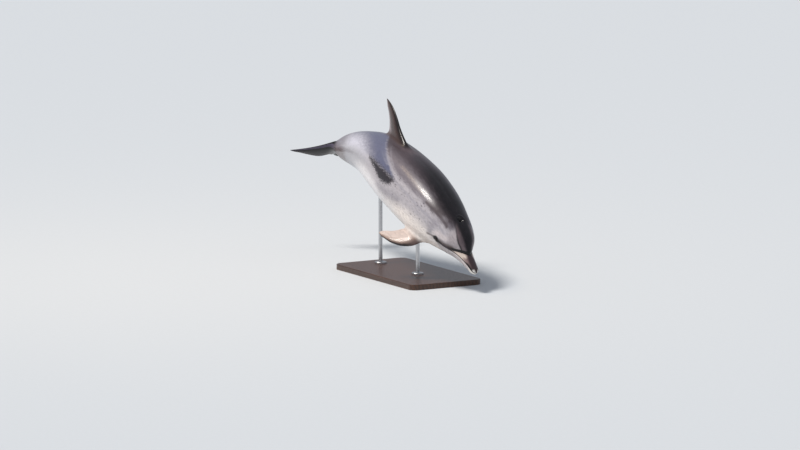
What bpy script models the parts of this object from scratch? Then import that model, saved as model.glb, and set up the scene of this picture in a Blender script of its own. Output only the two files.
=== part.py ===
"""Young Atlantic spotted dolphin: a life-size still model, caught in a downward leap, on a plain stand.

The animal is drawn straight first. In that straight frame a point is (s, y, z): s runs back from the
beak tip, y to the animal's left and z up from its spine, all in hundredths of the body length.
bend() then lays the straight animal along the curved spine of the leap, in metres.
The dolphin faces +X. The origin is the centre of the base's underside.
"""
import bmesh
import bpy
import numpy as np
from mathutils import Matrix

# Driving dimensions, in metres.
BODY_LENGTH = 1.85        # beak tip to the notch between the flukes
UNIT = BODY_LENGTH / 100  # the tables below are in hundredths of the body length
GAP = 0.0003              # left between pieces that touch

# The spine of the leap: s, and the heading there in degrees (up is +, to the left is +).
SPINE_PITCH = ((0, -43.4), (12, -36.5), (25, -29.7), (40, -20.3), (55, -11.9), (70, -1.2),
               (85, 5.1), (100, 10.5))
SPINE_YAW = ((0, 8.2), (20, 3.7), (40, 0), (70, -5.5), (100, -11.9))
SPINE_ROLL = -2.8             # degrees, right side up
SPINE_ANCHOR = 40             # the s that is placed at ANCHOR_PLACE
ANCHOR_PLACE = (0.06, -0.01, 0.50)
SPINE_ENDS = (-5, 112)        # past the beak tip and the fluke tips

# The animal's ovals, one row per station: s, height above the spine, depth below it, half width.
BEAK = ((0, 0.95, 1.00, 1.25), (1.6, 1.02, 1.12, 1.50), (3.2, 1.22, 1.35, 1.80), (5.6, 1.65, 1.78, 2.25),
        (7.8, 2.10, 2.40, 2.75), (9.6, 2.30, 3.00, 3.35), (11.6, 2.20, 3.75, 4.15),
        (13.5, 1.50, 4.20, 4.60), (16.0, 0.80, 4.40, 4.60), (18.0, 0.40, 3.00, 3.00))
HEAD_AND_BODY = (
    (5.0, 0.90, 0.60, 0.20),      # front of the melon, still inside the beak
    (5.8, 1.85, 0.60, 0.90),
    (6.7, 2.75, 0.60, 1.60),
    (7.8, 3.70, 0.70, 2.40),
    (9.6, 4.95, 1.60, 3.80),
    (11.6, 5.75, 3.20, 4.95),     # corner of the mouth
    (13.5, 6.35, 4.45, 5.65),
    (15.5, 6.90, 5.35, 6.15),     # eye and blowhole
    (18.5, 7.50, 6.55, 6.85),
    (22, 8.20, 7.80, 7.60),       # front root of the flippers
    (28, 8.95, 9.05, 8.45),
    (36, 9.40, 9.45, 8.80),       # deepest girth
    (44, 9.25, 9.30, 8.65),
    (52, 9.00, 8.60, 8.00),       # middle of the dorsal fin
    (60, 8.40, 7.35, 6.80),
    (68, 7.10, 5.95, 5.20),
    (76, 5.60, 4.95, 3.70),       # tail stock
    (84, 4.15, 3.90, 2.40),
    (90, 2.90, 2.85, 1.65),
    (95, 1.85, 1.45, 1.40),
    (98.5, 0.10, 1.55, 1.20),     # the end dips with the flukes
    (100, -0.85, 1.80, 0.80))
MELON_FRONT = HEAD_AND_BODY[0][0]
BEAK_TIP_ROUNDING = 1.6           # length over which the beak rounds off to its tip
CENTRE_SHIFT = (9, 15)            # between these s the middle of a ring moves from the beak's to the body's
OVAL_POWER = 2.12                 # 2 is an ellipse, more is squarer
CREASE_FILLET = 0.15              # rounding where melon and beak meet
FARTHEST = 30                     # farther from the spine than any skin
AROUND = 36                       # points round a body ring

# The rings of each length of the body. The head is parted again along the mouth and the melon's crease.
LENGTHS = {
    "head": np.array((0.03, 0.25, 0.7, 1.4, 2.4, 3.6, 4.7, 5.3, 5.7, 6.1, 6.8, 7.7, 8.7, 9.6, 10.6, 11.7, 13,
                      14.5, 16, 17)),
    "neck": np.linspace(17, 21, 3),
    "chest": np.linspace(21, 44, 11),
    "loin": np.linspace(44, 66, 9),
    "tail_stock": np.append(np.linspace(66, 90, 9), (92.5, 95, 97, 98.6, 99.5, 100))}
MOUTH = ((-3, 0.1), (0, 0.15), (3, 0.35), (6, 0.25), (9, -0.20), (11, -0.60), (12.2, -0.65))
CREASE_TOP = (5.65, 1.75)         # the melon's crease on the midline
CHIN_END = (15.5, -7.0)           # the lower jaw's rear edge runs from the mouth corner to here
HEAD_CLEARANCE = 9                # the head's cutters reach this far from the spine
CUTTER_SLICES, MOUTH_POINTS = 13, 9

EYE_S, EYE_ANGLE = 14.6, 8.5      # place of the eye: s, and degrees below the side line
EYE_RADIUS, EYE_DEPTH = 0.0125, 0.0095
BLOWHOLE_S, BLOWHOLE_RADIUS = 14.2, 1.0
BLOWHOLE_WIDTH, BLOWHOLE_DEPTH, BLOWHOLE_HALF_ARC = 0.16, 0.30, 65

# Fin outlines, root to tip. Each row is a station of the fin: (leading edge), (trailing edge), thickness.
DORSAL_FIN = (                    # points are (s, z)
    ((43.6, 7.2), (59.6, 6.6), 2.6), ((46.0, 9.4), (58.0, 9.2), 2.1), ((48.9, 10.9), (57.6, 10.9), 1.7),
    ((51.9, 12.9), (57.9, 12.7), 1.35), ((54.2, 15.2), (58.9, 15.2), 1.0), ((56.7, 17.3), (60.0, 17.0), 0.65),
    ((58.8, 18.4), (60.45, 18.2), 0.35), ((60.3, 18.95), (60.7, 18.9), 0.12))
FLIPPER = (                       # points are (back, out) in the flipper's own plane
    ((-0.6, -2.2), (5.0, -1.9), 2.2), ((-0.3, 0.6), (7.0, 0.1), 1.8), ((0.35, 2.75), (7.9, 1.0), 1.5),
    ((1.9, 4.5), (8.9, 2.35), 1.25), ((4.6, 6.05), (10.1, 3.5), 0.95), ((8.2, 6.75), (11.6, 4.4), 0.65),
    ((11.2, 6.75), (12.7, 5.2), 0.35), ((12.95, 6.25), (13.2, 5.95), 0.12))
FLIPPER_ROOT = (21.5, 4.33, -6.38)              # (s, y, z) of the left flipper's front root
FLIPPER_BACK = (0.972, 0.222, -0.07)            # its plane's two directions, (s, y, z)
FLIPPER_OUT = (-0.218, 0.773, -0.596)
FLUKE = (                         # points are (s, y) for the left fluke
    ((91.4, 0.008), (100.0, 0.008), 1.9), ((93.0, 1.6), (101.5, 1.4), 1.6), ((95.3, 3.7), (102.5, 3.6), 1.3),
    ((98.0, 6.1), (102.8, 6.2), 0.95), ((100.8, 8.5), (103.3, 8.6), 0.65), ((103.0, 10.4), (104.1, 10.3), 0.35),
    ((104.2, 11.35), (104.5, 11.3), 0.12))
FLUKE_HINGE, FLUKE_SLOPE, FLUKE_CURL = 96.8, 0.42, 0.022
FIN_AROUND = 18                   # points round a fin section, an even number
FIN_STATIONS = 12                 # sections from a fin's root to its tip
FIN_THICKEST = 0.3                # where a section is thickest, as a share of its chord
FIN_TRAILING_EDGE = 0.06          # how blunt a section's trailing edge is, as a share of its thickness

# The display stand, in metres.
BASE_SIZE = (0.86, 0.44, 0.030)
BASE_CORNER, BASE_EDGE, CORNER_SEGMENTS = 0.040, 0.003, 6
ROD_RADIUS = 0.011
ROD_STATIONS = {"front": 36.5, "rear": 60.5}    # the s above each rod
FLANGE_RADIUS, FLANGE_HEIGHT, FLANGE_CHAMFER = 0.033, 0.010, 0.002
ROUND_SEGMENTS = 24


def clear_scene():
    for old in list(bpy.data.objects):
        bpy.data.objects.remove(old, do_unlink=True)


def material(name, colour, roughness, metallic=0.0):
    made = bpy.data.materials.new(name)
    made.use_nodes = True
    shader = made.node_tree.nodes["Principled BSDF"]
    shader.inputs["Base Color"].default_value = (*colour, 1.0)
    shader.inputs["Roughness"].default_value = roughness
    shader.inputs["Metallic"].default_value = metallic
    return made


def read_table(table, s):
    """Each column of a table at s, by a monotone cubic, which never overshoots the rows."""
    rows = np.array(table, float)
    x, y = rows[:, 0], rows[:, 1:]
    step = np.diff(x)[:, None]
    slope = np.diff(y, axis=0) / step
    before, after = slope[:-1], slope[1:]
    same_sign = before * after > 0
    harmonic = 2 * before * after / np.where(same_sign, before + after, 1)
    tangent = np.vstack([slope[:1], np.where(same_sign, harmonic, 0), slope[-1:]])
    s = np.clip(np.asarray(s, float), x[0], x[-1])
    i = np.clip(np.searchsorted(x, s, side="right") - 1, 0, len(x) - 2)
    width = step[i, 0]
    t = ((s - x[i]) / width)[..., None]
    width = width[..., None]
    return ((2 * t**3 - 3 * t**2 + 1) * y[i] + (t**3 - 2 * t**2 + t) * width * tangent[i]
            + (3 * t**2 - 2 * t**3) * y[i + 1] + (t**3 - t**2) * width * tangent[i + 1])


def make_spine():
    """Places and left and up directions along the spine, one row for each half of a hundredth."""
    start, end = SPINE_ENDS
    s = np.linspace(start, end, 2 * (end - start) + 1)
    pitch = np.radians(read_table(SPINE_PITCH, s)[:, 0])
    yaw = np.radians(read_table(SPINE_YAW, s)[:, 0])
    forward = np.stack([np.cos(pitch) * np.cos(yaw), np.cos(pitch) * np.sin(yaw), np.sin(pitch)], 1)
    left = np.stack([-np.sin(yaw), np.cos(yaw), np.zeros_like(yaw)], 1)
    up = np.cross(forward, left)
    roll = np.radians(SPINE_ROLL)
    left, up = left * np.cos(roll) + up * np.sin(roll), up * np.cos(roll) - left * np.sin(roll)
    steps = (forward[1:] + forward[:-1]) / 2 * np.diff(s)[:, None]
    place = -np.vstack([np.zeros(3), np.cumsum(steps, axis=0)]) * UNIT
    anchor = np.array([np.interp(SPINE_ANCHOR, s, place[:, k]) for k in range(3)])
    return s, place - anchor + ANCHOR_PLACE, left, up


SPINE = make_spine()


def bend(points):
    """Straight-frame points (s, y, z) in hundredths, laid along the spine, in metres."""
    points = np.asarray(points, float)
    s = points[..., 0]
    place, left, up = (np.stack([np.interp(s, SPINE[0], rows[:, k]) for k in range(3)], -1)
                       for rows in SPINE[1:])
    return place + left * points[..., 1:2] * UNIT + up * points[..., 2:3] * UNIT


def oval_reach(angle, centre, above, below, half):
    """How far a ray from the height `centre` reaches inside an oval, by halving."""
    middle, height = (above - below) / 2, (above + below) / 2
    inside, outside = np.zeros_like(angle), np.full_like(angle, FARTHEST)
    for _ in range(30):
        reach = (inside + outside) / 2
        y, z = reach * np.cos(angle), centre + reach * np.sin(angle)
        within = np.abs(y / half)**OVAL_POWER + np.abs((z - middle) / height)**OVAL_POWER < 1
        inside, outside = np.where(within, reach, inside), np.where(within, outside, reach)
    return inside


def body_surface(s, angle, grow=0.0):
    """Straight-frame points of the body at s and angle (0 is the left side, pi / 2 the back)."""
    s, angle = np.broadcast_arrays(np.asarray(s, float), np.asarray(angle, float))
    tip = np.clip(s / BEAK_TIP_ROUNDING, 0, 1)
    rounding = np.sqrt(1 - (1 - tip)**2)
    beak = np.moveaxis(read_table(BEAK, s), -1, 0) * rounding
    body = np.moveaxis(read_table(HEAD_AND_BODY, s), -1, 0)
    behind_beak = np.clip((s - CENTRE_SHIFT[0]) / (CENTRE_SHIFT[1] - CENTRE_SHIFT[0]), 0, 1)
    centre = (beak[0] - beak[1]) / 2 * (1 - behind_beak) + (body[0] - body[1]) / 2 * behind_beak
    beak_reach = np.where(s < LENGTHS["neck"][0], oval_reach(angle, centre, *beak), 0)
    body_reach = np.where(s > MELON_FRONT, oval_reach(angle, centre, *body), 0)
    reach = (beak_reach + body_reach + np.sqrt((beak_reach - body_reach)**2 + CREASE_FILLET**2)) / 2
    reach = reach + grow
    return np.stack([s, reach * np.cos(angle), centre + reach * np.sin(angle)], -1)


def body_rings(stations, grow=0.0):
    """Bent rings of the body, shape (stations, AROUND, 3)."""
    angle = np.arange(AROUND) * 2 * np.pi / AROUND
    s, angle = np.meshgrid(np.array(stations, float), angle, indexing="ij")
    return bend(body_surface(s, angle, grow))


def loft(name, rings, finish=None):
    """A closed object through the rings, with a flat cap at each end. Without a finish it is a cutter."""
    shape = bmesh.new()
    rows = [[shape.verts.new(point) for point in ring] for ring in rings]
    for row, after in zip(rows, rows[1:]):
        for k in range(len(row)):
            j = (k + 1) % len(row)
            shape.faces.new((row[k], row[j], after[j], after[k]))
    shape.faces.new(reversed(rows[0]))
    shape.faces.new(rows[-1])
    bmesh.ops.triangulate(shape, faces=shape.faces, quad_method="FIXED")
    return make_object(name, shape, finish)


def make_object(name, shape, finish=None):
    bmesh.ops.recalc_face_normals(shape, faces=shape.faces)
    mesh = bpy.data.meshes.new(name)
    shape.to_mesh(mesh)
    shape.free()
    made = bpy.data.objects.new(name, mesh)
    bpy.context.scene.collection.objects.link(made)
    if finish:
        mesh.materials.append(finish)
        mesh.shade_smooth()
        mesh.set_sharp_from_angle(angle=np.radians(35))
    else:
        made.hide_render = True
        made.display_type = "WIRE"
    return made


def cut(piece, cutter, operation="DIFFERENCE"):
    modifier = piece.modifiers.new(cutter.name, "BOOLEAN")
    modifier.operation = operation
    modifier.solver = "EXACT"
    modifier.object = cutter


def side_prism(name, outline):
    """A cutter with the given (s, z) outline, right across the head in thin slices that bend with it."""
    slices = np.linspace(-HEAD_CLEARANCE, HEAD_CLEARANCE, CUTTER_SLICES)
    return loft(name, [bend([(s, y, z) for s, z in outline]) for y in slices])


def line_between(start, end, count=4):
    """Points (s, z) from start up to, but not including, end."""
    return [tuple(point) for point in np.linspace(start, end, count, endpoint=False)]


def mouth_line(offset):
    """Points (s, z) of the mouth line from the front to the mouth corner, moved up by offset."""
    s = np.linspace(MOUTH[0][0], MOUTH[-1][0], MOUTH_POINTS)
    return [(a, b + offset) for a, b in zip(s, read_table(MOUTH, s)[:, 0])]


def make_muzzle(skin):
    """The beak, the lower jaw and the head behind them, parted by the mouth and the melon's crease."""
    part = GAP / UNIT
    front, top, bottom = MOUTH[0][0], HEAD_CLEARANCE, -HEAD_CLEARANCE
    stations = LENGTHS["head"].copy()
    stations[-1] -= part / 2
    block = body_rings(stations)
    beak = loft("beak", block, skin["beak"])
    jaw = loft("lower_jaw", block, skin["jaw"])
    head = loft("head", block, skin["head"])
    corner = MOUTH[-1]
    crease, chin = line_between(corner, CREASE_TOP), line_between(corner, CHIN_END)
    above_crease, below_chin = (CREASE_TOP[0] - 0.2, top), (CHIN_END[0], bottom)
    upper = mouth_line(part / 2)[:-1] + crease + [CREASE_TOP, above_crease, (front, top)]
    lower = mouth_line(-part / 2)[:-1] + chin + [CHIN_END, below_chin, (front, bottom)]
    cut(beak, side_prism("beak_space", upper), "INTERSECT")
    cut(jaw, side_prism("jaw_space", lower), "INTERSECT")
    behind = [above_crease, CREASE_TOP, *reversed(crease), *chin[1:], CHIN_END, below_chin]
    outline = [(s + part, z) for s, z in behind] + [(front, bottom), (front, top)]
    cut(head, side_prism("muzzle_space", outline))
    return head


def make_body(skin):
    """The neck, chest, loin and tail stock, parted by flat cuts across the spine."""
    for name in ("neck", "chest", "loin", "tail_stock"):
        stations = LENGTHS[name].copy()
        stations[0] += GAP / UNIT / 2
        stations[-1] -= GAP / UNIT / 2
        loft(name, body_rings(stations), skin[name])


def body_envelope():
    """The whole body, one gap larger: the cutter for whatever meets the skin."""
    return loft("body_envelope", body_rings(np.unique(np.concatenate(list(LENGTHS.values()))), GAP / UNIT))


def eye_surface(side):
    """The eye's place on the skin and the way it looks out, in metres. Side is 1 for left."""
    angle = -np.radians(EYE_ANGLE)
    angle = angle if side > 0 else np.pi - angle
    place, behind, above = bend(body_surface([EYE_S, EYE_S + 0.5, EYE_S], [angle, angle, angle + 0.05 * side]))
    outward = side * np.cross(place - behind, above - place)
    return place, outward / np.linalg.norm(outward)


def make_eyes(head, finish):
    for name, side in (("left", 1), ("right", -1)):
        place, outward = eye_surface(side)
        centre = Matrix.Translation(place - outward * EYE_DEPTH)
        for label, radius, look in (("eye_", EYE_RADIUS, finish), ("eye_socket_", EYE_RADIUS + GAP, None)):
            ball = bmesh.new()
            bmesh.ops.create_uvsphere(ball, u_segments=14, v_segments=9, radius=radius, matrix=centre)
            made = make_object(label + name, ball, look)
        cut(head, made)


def cut_blowhole(head):
    """A crescent groove over the top of the head, its horns to the front."""
    sweep = np.radians(np.linspace(-BLOWHOLE_HALF_ARC, BLOWHOLE_HALF_ARC, 13))
    surface = body_surface(BLOWHOLE_S, np.pi / 2)[2]
    rings = []
    for angle in sweep:
        taper = np.cos(angle)
        ring = []
        for across, height in ((-1, 1), (1, 1), (1, -1), (-1, -1)):
            reach = BLOWHOLE_RADIUS + across * BLOWHOLE_WIDTH / 2 * taper
            s, y = BLOWHOLE_S + reach * np.cos(angle), reach * np.sin(angle)
            back = body_surface(s, np.arctan2(surface, y))
            ring.append((s, y, back[2] + height * BLOWHOLE_DEPTH * max(taper, 0.5)))
        rings.append(bend(ring))
    cut(head, loft("blowhole_groove", rings))


def fin_rings(outline, place):
    """Fin sections through an outline's stations; place turns (a, b, side) into straight-frame points."""
    rows = np.array([(*lead, *trail, thick) for lead, trail, thick in outline])
    middle = (rows[:, 0:2] + rows[:, 2:4]) / 2
    along = np.append(0, np.cumsum(np.linalg.norm(np.diff(middle, axis=0), axis=1)))
    spread = np.sin(np.linspace(0, np.pi / 2, FIN_STATIONS)) * along[-1]
    sections = read_table(np.column_stack([along, rows]), spread)
    turn = np.arange(FIN_AROUND) * 2 * np.pi / FIN_AROUND
    chord = (1 - np.cos(turn)) / 2
    shape = np.sqrt(chord) * (1 - chord)
    thickest = np.sqrt(FIN_THICKEST) * (1 - FIN_THICKEST)
    body = np.sign(np.sin(turn)) * shape / thickest
    swell = body * (1 - FIN_TRAILING_EDGE) + FIN_TRAILING_EDGE * np.sin(turn)
    rings = []
    for lead_a, lead_b, trail_a, trail_b, thick in sections:
        a, b = lead_a + (trail_a - lead_a) * chord, lead_b + (trail_b - lead_b) * chord
        rings.append(bend(place(a, b, swell * thick / 2)))
    return rings


def fluke_height(s, y):
    """The flukes slope down to the rear, and their tips curl up."""
    return (FLUKE_HINGE - s) * FLUKE_SLOPE + FLUKE_CURL * y**2


def make_fins(skin, envelope):
    """The dorsal fin, flippers and flukes, each cut where it meets the body."""
    fins = [loft("dorsal_fin", fin_rings(DORSAL_FIN, lambda a, b, side: np.stack([a, side, b], -1)),
                 skin["dorsal_fin"])]
    back, out = np.array(FLIPPER_BACK), np.array(FLIPPER_OUT)
    normal = np.cross(back, out)
    for name, side in (("left", 1), ("right", -1)):
        mirror = np.array([1, side, 1])

        def flipper_place(a, b, swell):
            return (FLIPPER_ROOT + a[:, None] * back + b[:, None] * out + swell[:, None] * normal) * mirror

        def fluke_place(a, b, swell):
            return np.stack([a, b, swell + fluke_height(a, b)], -1) * mirror

        fins.append(loft("flipper_" + name, fin_rings(FLIPPER, flipper_place), skin["flipper"]))
        fins.append(loft("fluke_" + name, fin_rings(FLUKE, fluke_place), skin["fluke"]))
    for fin in fins:
        cut(fin, envelope)


def make_base(finish):
    shape = bmesh.new()
    length, width, height = BASE_SIZE
    place = Matrix.Translation((0, 0, height / 2)) @ Matrix.Diagonal((length, width, height, 1))
    bmesh.ops.create_cube(shape, size=1, matrix=place)
    corners = [edge for edge in shape.edges if abs(edge.verts[0].co.z - edge.verts[1].co.z) > height / 2]
    bmesh.ops.bevel(shape, geom=corners, offset=BASE_CORNER, segments=CORNER_SEGMENTS, affect="EDGES",
                    profile=0.5)
    rim = [edge for edge in shape.edges if min(vert.co.z for vert in edge.verts) > height * 0.99]
    bmesh.ops.bevel(shape, geom=rim, offset=BASE_EDGE, segments=2, affect="EDGES", profile=0.5)
    make_object("stand_base", shape, finish)


def round_ring(x, y, z, radius):
    turn = np.arange(ROUND_SEGMENTS) * 2 * np.pi / ROUND_SEGMENTS
    return np.stack([x + radius * np.cos(turn), y + radius * np.sin(turn), np.full_like(turn, z)], -1)


def make_rods(finish, envelope):
    """Two upright rods, each in a turned flange on the base, up to the belly."""
    base_top = BASE_SIZE[2] + GAP
    for name, s in ROD_STATIONS.items():
        x, y, spine_z = bend((s, 0, 0))
        rod = loft("stand_rod_" + name, [round_ring(x, y, z, ROD_RADIUS) for z in (base_top, spine_z)], finish)
        cut(rod, envelope)
        bore = ROD_RADIUS + GAP
        lip = base_top + FLANGE_HEIGHT - FLANGE_CHAMFER
        profile = ((bore, base_top), (FLANGE_RADIUS, base_top), (FLANGE_RADIUS, lip),
                   (FLANGE_RADIUS - FLANGE_CHAMFER, base_top + FLANGE_HEIGHT), (bore, base_top + FLANGE_HEIGHT))
        turned("stand_flange_" + name, profile, x, y, finish)


def turned(name, profile, x, y, finish):
    """A ring turned about the upright axis at (x, y) from a closed (radius, z) profile."""
    shape = bmesh.new()
    rows = [[shape.verts.new(point) for point in round_ring(x, y, z, radius)] for radius, z in profile]
    for row, after in zip(rows, rows[1:] + rows[:1]):
        for k in range(ROUND_SEGMENTS):
            j = (k + 1) % ROUND_SEGMENTS
            shape.faces.new((row[k], row[j], after[j], after[k]))
    make_object(name, shape, finish)


def skin_materials():
    """One material for each length of skin: charcoal cape, grey sides, pale tail stock."""
    colours = {"beak": (0.16, 0.12, 0.11), "jaw": (0.42, 0.34, 0.32), "head": (0.17, 0.14, 0.14),
               "neck": (0.22, 0.19, 0.20), "chest": (0.30, 0.27, 0.29), "loin": (0.36, 0.33, 0.35),
               "tail_stock": (0.50, 0.46, 0.48), "dorsal_fin": (0.13, 0.11, 0.12),
               "flipper": (0.30, 0.22, 0.20), "fluke": (0.09, 0.08, 0.09)}
    return {name: material("skin_" + name, colour, 0.25) for name, colour in colours.items()}


def main():
    clear_scene()
    skin = skin_materials()
    steel = material("brushed_steel", (0.62, 0.62, 0.63), 0.32, 1.0)
    head = make_muzzle(skin)
    make_body(skin)
    make_eyes(head, material("eye", (0.02, 0.015, 0.012), 0.05))
    cut_blowhole(head)
    envelope = body_envelope()
    make_fins(skin, envelope)
    make_base(material("dark_wood", (0.10, 0.055, 0.03), 0.4))
    make_rods(steel, envelope)


main()
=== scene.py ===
"""The looks of the young Atlantic spotted dolphin: one wet skin over the solids, its eyes and its stand.

The skin is made in the solids' straight frame. A point there is (s, y, z): s runs back from the beak tip,
y to the animal's left and z up from its spine, in hundredths of the body length. bend() lays it along the
curved spine of the leap, in metres. Angles round the body start at its left side and pass over its back.
"""

import bmesh
import bpy
import numpy as np
from mathutils import Matrix, Vector


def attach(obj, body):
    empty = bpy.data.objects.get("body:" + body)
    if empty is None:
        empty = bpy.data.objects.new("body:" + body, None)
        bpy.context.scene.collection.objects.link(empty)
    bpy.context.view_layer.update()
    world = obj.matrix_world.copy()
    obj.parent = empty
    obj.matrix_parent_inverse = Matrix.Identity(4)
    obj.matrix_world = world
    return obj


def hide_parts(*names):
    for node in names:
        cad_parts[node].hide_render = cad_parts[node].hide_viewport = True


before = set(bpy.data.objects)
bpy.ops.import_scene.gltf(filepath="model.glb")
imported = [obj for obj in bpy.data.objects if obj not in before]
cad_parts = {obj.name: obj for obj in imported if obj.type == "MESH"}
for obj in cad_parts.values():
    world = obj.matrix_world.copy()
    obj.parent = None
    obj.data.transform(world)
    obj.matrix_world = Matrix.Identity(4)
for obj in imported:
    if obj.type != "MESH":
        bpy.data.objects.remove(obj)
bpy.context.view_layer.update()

# --- The animal's shape, as in the solids. All in hundredths of the body length, unless it says otherwise.
BODY_LENGTH = 1.85  # metres, beak tip to the notch between the flukes
UNIT = BODY_LENGTH / 100

# The spine of the leap: s, and the heading there in degrees (up is +, to the left is +).
SPINE_PITCH = ((0, -43.4), (12, -36.5), (25, -29.7), (40, -20.3), (55, -11.9), (70, -1.2),
               (85, 5.1), (100, 10.5))
SPINE_YAW = ((0, 8.2), (20, 3.7), (40, 0), (70, -5.5), (100, -11.9))
SPINE_ROLL = -2.8  # degrees, right side up
SPINE_ANCHOR = 40  # the s that is placed at ANCHOR_PLACE
ANCHOR_PLACE = (0.06, -0.01, 0.5)
SPINE_ENDS = (-5, 112)  # past the beak tip and the fluke tips

# The animal's ovals, one row per station: s, height above the spine, depth below it, half width.
BEAK = ((0, 0.95, 1, 1.25), (1.6, 1.02, 1.12, 1.5), (3.2, 1.22, 1.35, 1.8), (5.6, 1.65, 1.78, 2.25),
        (7.8, 2.1, 2.4, 2.75), (9.6, 2.3, 3, 3.35), (11.6, 2.2, 3.75, 4.15),
        (13.5, 1.5, 4.2, 4.6), (16, 0.8, 4.4, 4.6), (18, 0.4, 3, 3))
HEAD_AND_BODY = (
    (5, 0.9, 0.6, 0.2),  # front of the melon, still inside the beak
    (5.8, 1.85, 0.6, 0.9), (6.7, 2.75, 0.6, 1.6), (7.8, 3.7, 0.7, 2.4), (9.6, 4.95, 1.6, 3.8),
    (11.6, 5.75, 3.2, 4.95),  # corner of the mouth
    (13.5, 6.35, 4.45, 5.65),
    (15.5, 6.9, 5.35, 6.15),  # eye and blowhole
    (18.5, 7.5, 6.55, 6.85),
    (22, 8.2, 7.8, 7.6),  # front root of the flippers
    (28, 8.95, 9.05, 8.45),
    (36, 9.4, 9.45, 8.8),  # deepest girth
    (44, 9.25, 9.3, 8.65),
    (52, 9, 8.6, 8),  # middle of the dorsal fin
    (60, 8.4, 7.35, 6.8), (68, 7.1, 5.95, 5.2),
    (76, 5.6, 4.95, 3.7),  # tail stock
    (84, 4.15, 3.9, 2.4), (90, 2.9, 2.85, 1.65), (95, 1.85, 1.45, 1.4),
    (98.5, 0.1, 1.55, 1.2),  # the end dips with the flukes
    (100, -0.85, 1.8, 0.8))
MELON_FRONT = HEAD_AND_BODY[0][0]
BEAK_TIP_ROUNDING = 1.6  # length over which the beak rounds off to its tip
CENTRE_SHIFT = (9, 15)  # between these s the middle of a ring moves from the beak's to the body's
BEAK_END = 17  # behind this s the beak's oval lies inside the head's
OVAL_POWER = 2.12  # 2 is an ellipse, more is squarer
CREASE_FILLET = 0.15  # rounding where melon and beak meet
FARTHEST = 30  # farther from the spine than any skin
REACH_STEPS, MOUTH_STEPS, ROOT_STEPS = 30, 16, 24  # halvings in each search
MOUTH = ((-3, 0.1), (0, 0.15), (3, 0.35), (6, 0.25), (9, -0.2), (11, -0.6), (12.2, -0.65))
MOUTH_CORNER, MOUTH_LOWEST, MOUTH_HIGHEST = MOUTH[-1][0], -35, 20  # s; degrees

EYE_S, EYE_ANGLE = 14.6, 8.5  # place of the eye: s, and degrees below the side line
EYE_RADIUS, EYE_DEPTH = 0.0125 / UNIT, 0.0095 / UNIT
BLOWHOLE_S, BLOWHOLE_RADIUS, BLOWHOLE_HALF_ARC = 14.75, 1, 65

# Fin outlines, root to tip. A row has two numbers for the leading edge, two for the trailing edge, and
# the thickness.
DORSAL_FIN = (  # edges are s, z
    (43.6, 7.2, 59.6, 6.6, 2.6), (46, 9.4, 58, 9.2, 2.1), (48.9, 10.9, 57.6, 10.9, 1.7),
    (51.9, 12.9, 57.9, 12.7, 1.35), (54.2, 15.2, 58.9, 15.2, 1), (56.7, 17.3, 60, 17, 0.65),
    (58.8, 18.4, 60.45, 18.2, 0.35), (60.3, 18.95, 60.7, 18.9, 0.12))
FLIPPER = (  # edges are back, out in the flipper's own plane
    (-0.6, -2.2, 5, -1.9, 2.2), (-0.3, 0.6, 7, 0.1, 1.8), (0.35, 2.75, 7.9, 1, 1.5),
    (1.9, 4.5, 8.9, 2.35, 1.25), (4.6, 6.05, 10.1, 3.5, 0.95), (8.2, 6.75, 11.6, 4.4, 0.65),
    (11.2, 6.75, 12.7, 5.2, 0.35), (12.95, 6.25, 13.2, 5.95, 0.12))
FLIPPER_ROOT = (21.5, 4.33, -6.38)  # (s, y, z) of the left flipper's front root
FLIPPER_BACK = (0.972, 0.222, -0.07)  # its plane's two directions, (s, y, z)
FLIPPER_OUT = (-0.218, 0.773, -0.596)
FLUKE = (  # edges are s, y for the left fluke
    (91.4, 0.008, 100, 0.008, 1.9), (93, 1.6, 101.5, 1.4, 1.6), (95.3, 3.7, 102.5, 3.6, 1.3),
    (98, 6.1, 102.8, 6.2, 0.95), (100.8, 8.5, 103.3, 8.6, 0.65), (103, 10.4, 104.1, 10.3, 0.35),
    (104.2, 11.35, 104.5, 11.3, 0.12))
FLUKE_HINGE, FLUKE_SLOPE, FLUKE_CURL = 96.8, 0.42, 0.022
FIN_THICKEST = 0.3  # where a section is thickest, as a share of its chord
FIN_TRAILING_EDGE = 0.06  # how blunt a section's trailing edge is, as a share of its thickness

# --- How finely the skin is divided, and its small relief.
COLUMNS = 192
ROW_RUNS = ((5, 24), (7, 18), (12.8, 30), (16.4, 32), (20, 14), (62, 104), (90, 66),
            (99.6, 44))  # where each run of rows ends, and how many it has
TIP_ROWS, TIP_END = 7, 0.5  # rows of the rounded beak tip
TAIL_ROWS, TAIL_END = ((0.25, 0.85), (0.42, 0.6), (0.52, 0.3)), 0.55  # s behind the last row, and size
FIN_ROWS, FILLET_ROWS = 44, 9
LEADING_SHARE, TRAILING_SHARE = 0.05, 0.96  # the chord between them is divided evenly
COLUMN_PINCH, PINCH_REACH = 0.6, 24  # columns crowd to the mouth line, within these degrees
WINDOWS = {  # front and rear s, degrees of the middle, half the columns
    "dorsal": (42.8, 61.3, 90, 9), "flipper": (18.9, 30.6, -54, 11), "fluke": (91, 99.5, 0, 28),
    "eye": (EYE_S - 1.45, EYE_S + 1.45, 0, 8)}
FILLETS = {"dorsal": 0.1, "flipper": 0.13, "fluke": 0.12}  # their share of the fin's length
DEEPEST_ROOT = 0.6  # share of a fin's length that may lie inside the body
ROOT_SMOOTHING, ROOT_SPAN = 14, 0.17  # passes over the flukes' roots, and how far out they reach
EYE_RINGS, EYE_RING_POWER = 22, 1.7  # rings that close in on the eye, and how fast

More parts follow.
